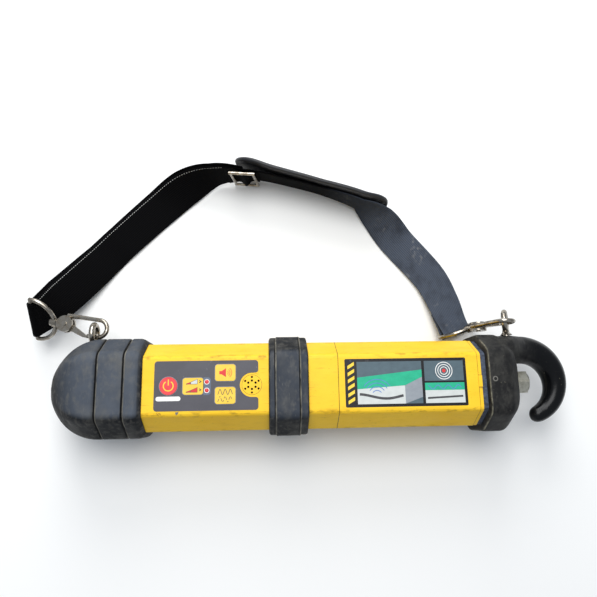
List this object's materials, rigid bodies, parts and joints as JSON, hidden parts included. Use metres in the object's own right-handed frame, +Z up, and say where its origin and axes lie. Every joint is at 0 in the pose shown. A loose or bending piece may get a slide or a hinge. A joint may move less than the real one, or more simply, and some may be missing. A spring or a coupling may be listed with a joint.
{
  "type": "cable locator signal transmitter",
  "caption": "Hand-held chamfered tube signal transmitter for tracing buried cables, with keypad, rubber guards, hanging hook and a padded shoulder strap on swivel snaps.",
  "frame": {"origin": "middle of the bumper's back flat, on the floor that the tube lies on", "axes": "+X along the tube to the hook, +Y to the strap side, +Z up out of the keypad face"},
  "size_m": [0.5648, 0.3094, 0.0987],
  "materials": {
    "yellow_plastic": "moulded, scuffed",
    "black_plastic": "moulded",
    "guard_rubber": "dusty dark grey",
    "cap_plastic": "worn charcoal",
    "seal_rubber": "blue-grey",
    "bolt_steel": "worn plating",
    "insert_brass": "turned",
    "cell_case": "printed sleeve",
    "overlay_film": "dark grey film with fine scratches",
    "red_key": "moulded",
    "yellow_key": "moulded",
    "window_film": "blue-grey film",
    "lamp_red": "clear red",
    "white_film": "blank writing strip",
    "speaker_steel": "pressed",
    "board_laminate": "green laminate",
    "ferrite": "sintered",
    "coil_winding": "enamelled wire",
    "label_film": "printed film",
    "nickel_steel": "worn nickel plating",
    "webbing": "woven black webbing",
    "pad_fabric": "dark grey padded fabric"
  },
  "bodies": {
    "housing": {"control_housing": "yellow_plastic", "battery_housing": "yellow_plastic", "joint_sleeve": "black_plastic", "nose_cover": "black_plastic", "nose_boot": "guard_rubber", "centre_bumper": "guard_rubber", "hook_cap": "cap_plastic", "cap_seal": "seal_rubber", "bolt_washer": "bolt_steel", "bulkhead": "black_plastic", "threaded_insert": "insert_brass", "cell_carrier": "black_plastic", "battery_cells": "cell_case", "contact_plates": "insert_brass", "keypad_overlay": "overlay_film", "lamp_window": "window_film", "level_lamps": "lamp_red", "marking_strip": "white_film", "speaker_grille": "yellow_plastic", "loudspeaker": "speaker_steel", "control_board": "board_laminate", "key_switches": "black_plastic", "ferrite_rod": "ferrite", "antenna_coil": "coil_winding", "rod_cradles": "black_plastic", "diagram_label": "label_film", "nose_eye": "nickel_steel", "hook_eye": "nickel_steel", "eye_nut": "nickel_steel", "strap_webbing": "webbing", "shoulder_pad": "pad_fabric", "strap_adjuster": "nickel_steel", "left_d_loop": "nickel_steel", "right_d_loop": "nickel_steel"},
    "power_button": {"power_key": "red_key"},
    "level_button": {"level_key": "yellow_key"},
    "volume_button": {"volume_key": "yellow_key"},
    "signal_button": {"signal_key": "yellow_key"},
    "bolt": {"cap_bolt": "bolt_steel"},
    "left_snap": {"left_swivel_rivet": "nickel_steel", "left_snap_body": "nickel_steel", "left_gate_pin": "nickel_steel"},
    "left_gate": {"left_snap_gate": "nickel_steel"},
    "right_snap": {"right_swivel_rivet": "nickel_steel", "right_snap_body": "nickel_steel", "right_gate_pin": "nickel_steel"},
    "right_gate": {"right_snap_gate": "nickel_steel"}
  },
  "joints": [
    {"name": "power_press", "type": "slide", "parent": "housing", "child": "power_button", "axis": [0, 0, -1], "range_m": [0, 0.0004], "stiffness_N_per_m": 800},
    {"name": "level_press", "type": "slide", "parent": "housing", "child": "level_button", "axis": [0, 0, -1], "range_m": [0, 0.0004], "stiffness_N_per_m": 800},
    {"name": "volume_press", "type": "slide", "parent": "housing", "child": "volume_button", "axis": [0, 0, -1], "range_m": [0, 0.0004], "stiffness_N_per_m": 800},
    {"name": "signal_press", "type": "slide", "parent": "housing", "child": "signal_button", "axis": [0, 0, -1], "range_m": [0, 0.0004], "stiffness_N_per_m": 800},
    {"name": "bolt_turn", "type": "hinge", "parent": "housing", "child": "bolt", "pos_m": [0.243, 0, 0.049], "axis": [1, 0, 0], "continuous": true},
    {"name": "left_swivel", "type": "hinge", "parent": "housing", "child": "left_snap", "pos_m": [-0.19501, 0.06199, 0.04942], "axis": [0.9752, -0.172, 0.1392], "range_deg": [-8, 8]},
    {"name": "left_gate_hinge", "type": "hinge", "parent": "left_snap", "child": "left_gate", "pos_m": [-0.23012, 0.06818, 0.04441], "axis": [-0.1371, 0.0242, 0.9903], "range_deg": [0, 18], "stiffness_Nm_per_rad": 0.05, "springref_deg": -8.59},
    {"name": "right_swivel", "type": "hinge", "parent": "housing", "child": "right_snap", "pos_m": [0.22243, 0.0605, 0.0779], "axis": [0.4067, 0, 0.9135], "range_deg": [-8, 8]},
    {"name": "right_gate_hinge", "type": "hinge", "parent": "right_snap", "child": "right_gate", "pos_m": [0.20779, 0.0605, 0.04501], "axis": [0, -1, 0], "range_deg": [0, 18], "stiffness_Nm_per_rad": 0.05, "springref_deg": -8.59}
  ]
}
